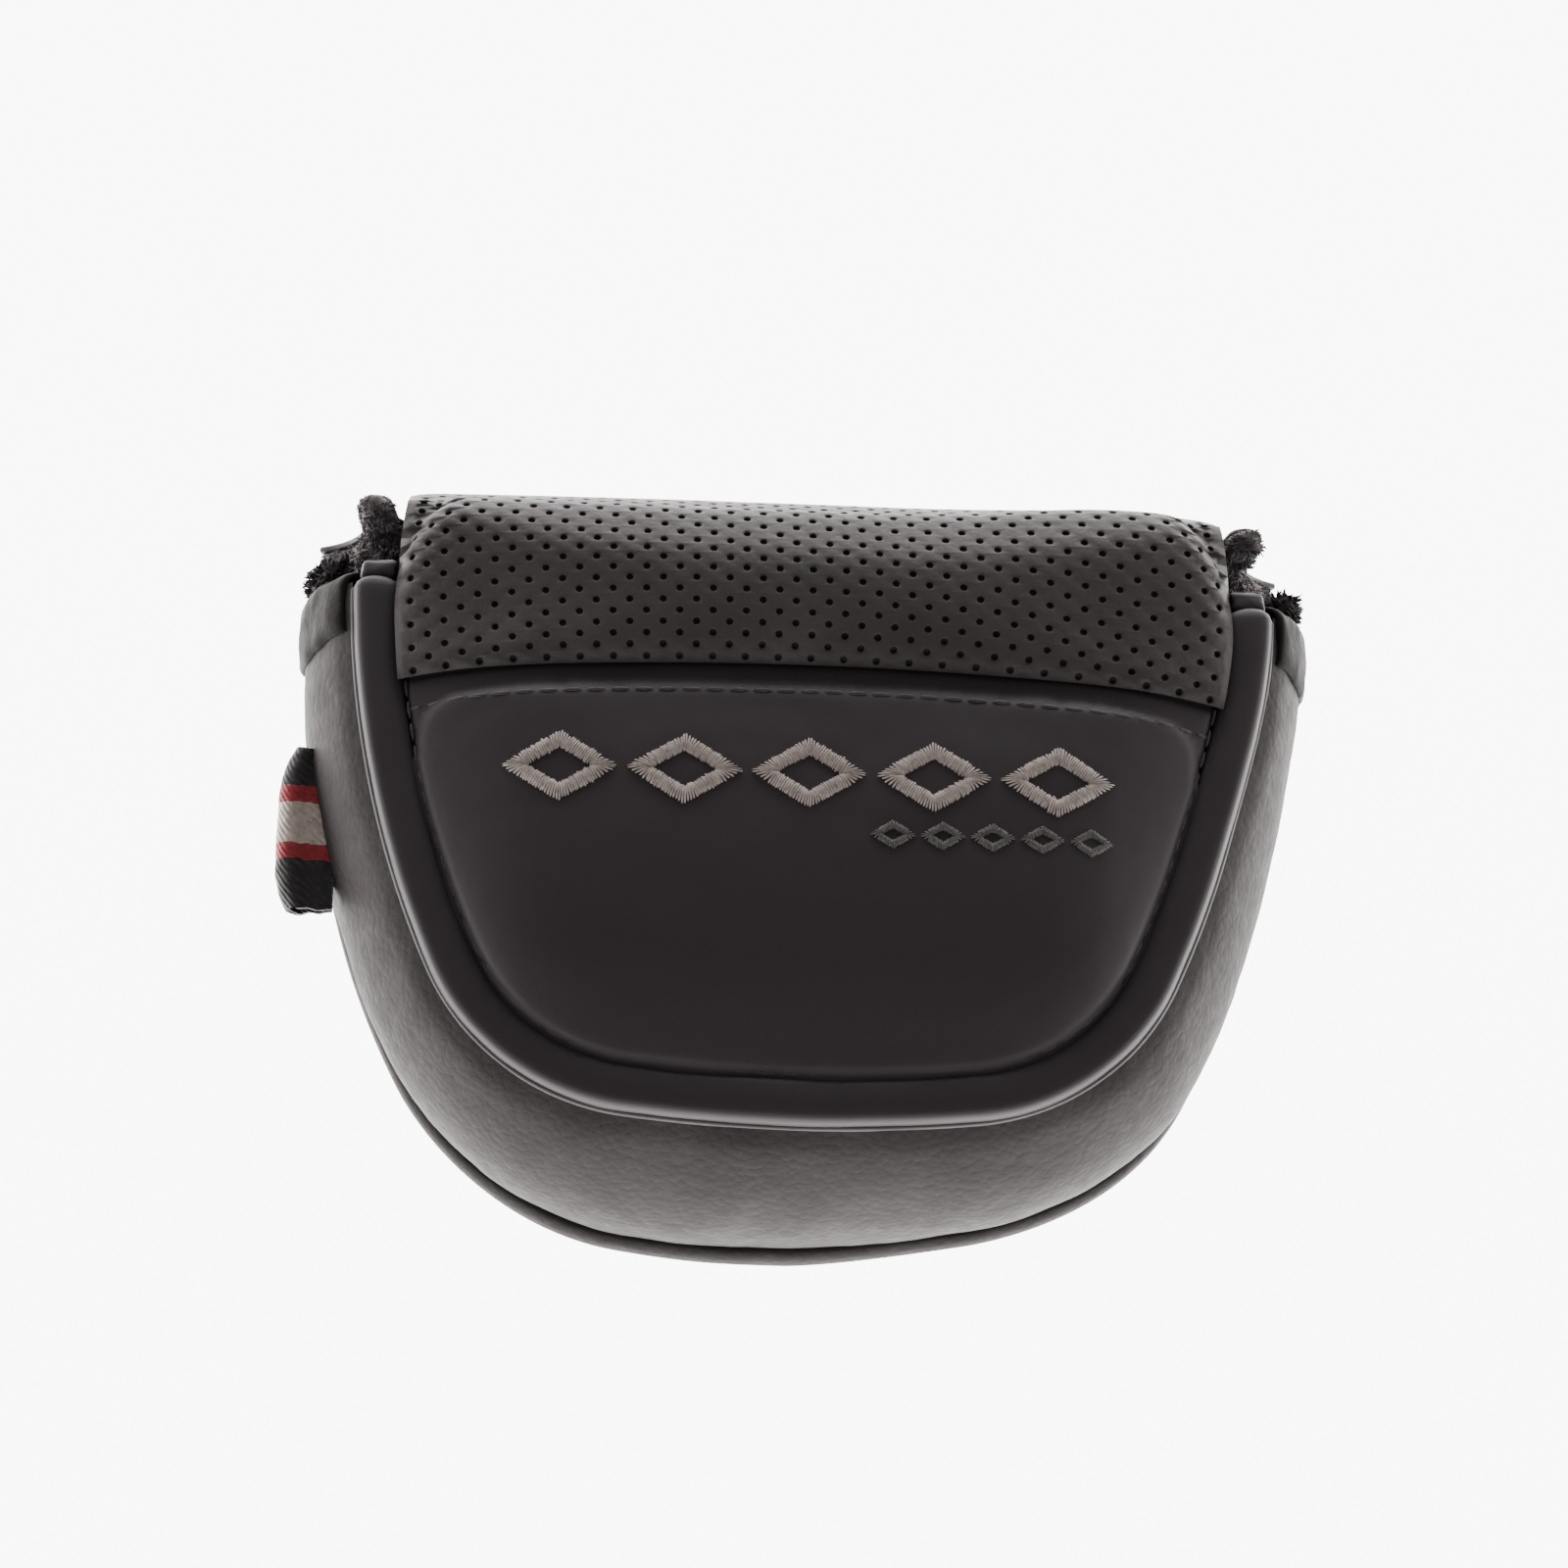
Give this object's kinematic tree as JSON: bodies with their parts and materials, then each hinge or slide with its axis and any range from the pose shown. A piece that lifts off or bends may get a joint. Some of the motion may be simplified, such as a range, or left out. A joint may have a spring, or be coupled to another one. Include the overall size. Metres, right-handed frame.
{
  "type": "mallet putter head cover",
  "caption": "D-shaped padded leatherette pouch with fleece lining, a folding magnetic closing flap, a fleece-lined shaft tab and a ribbon tag.",
  "frame": {"origin": "on the flat of the back panel that the cover rests on, midway between its sides and 36.5 mm from the front seam at the round end", "axes": "+Z out of the front panel, +Y towards the mouth, +X to the right as seen from the front with the mouth up"},
  "size_m": [0.1299, 0.0982, 0.0445],
  "materials": {
    "leatherette": "black grained synthetic leather, satin",
    "perforated_leatherette": "black synthetic leather with staggered rows of small round holes",
    "fleece": "black short-pile plush",
    "foam": "open-cell foam",
    "board": "thin stiffening board",
    "magnet": "nickel-plated disc magnet",
    "pale_thread": "warm grey satin stitch thread",
    "grey_thread": "dark grey satin stitch thread",
    "black_thread": "black sewing thread",
    "ribbon": "woven ribbon striped black, red and white"
  },
  "bodies": {
    "cover": {"front_rim": "leatherette", "front_panel": "leatherette", "perforated_panel": "perforated_leatherette", "front_foam": "foam", "fold_foam": "foam", "front_lining": "fleece", "front_welt": "leatherette", "gusset_outer": "leatherette", "gusset_foam": "foam", "gusset_lining": "fleece", "gusset_binding_left": "leatherette", "gusset_binding_right": "leatherette", "rim_end_left": "leatherette", "rim_end_right": "leatherette", "back_panel": "leatherette", "back_foam": "foam", "back_land": "leatherette", "land_board": "board", "land_magnets": "magnet", "back_lining": "fleece", "back_welt": "leatherette", "embroidery_band": "pale_thread", "embroidery_row": "grey_thread", "groove_thread": "black_thread", "seam_thread": "black_thread"},
    "flap": {"flap_leather": "perforated_leatherette", "flap_foam": "foam", "flap_lining": "fleece"},
    "tongue": {"tongue_leather": "leatherette", "tongue_board": "board", "tongue_magnets": "magnet", "tongue_lining": "fleece", "tongue_thread": "black_thread"},
    "shaft_tab": {"tab_leather": "leatherette", "tab_fleece": "fleece"},
    "tag": {"tag_loop": "ribbon"}
  },
  "joints": [
    {"name": "flap_fold", "type": "hinge", "parent": "cover", "child": "flap", "pos_m": [0, 0.0438, 0.0332], "axis": [1, 0, 0], "range_deg": [0, 150]},
    {"name": "tongue_fold", "type": "hinge", "parent": "flap", "child": "tongue", "pos_m": [0, 0.0502, 0], "axis": [1, 0, 0], "range_deg": [0, 95]},
    {"name": "tab_fold", "type": "hinge", "parent": "cover", "child": "shaft_tab", "pos_m": [0, 0.0434, 0.006], "axis": [-1, 0, 0], "range_deg": [0, 90]},
    {"name": "tag_bend", "type": "hinge", "parent": "cover", "child": "tag", "pos_m": [-0.06, 0.002, 0.024], "axis": [-0.2468, 0.9691, 0], "range_deg": [-10, 10], "stiffness_Nm_per_rad": 0.002}
  ],
  "couplings": [
    {"joint": "tab_fold", "follows": "flap_fold", "ratio": 0.6}
  ]
}
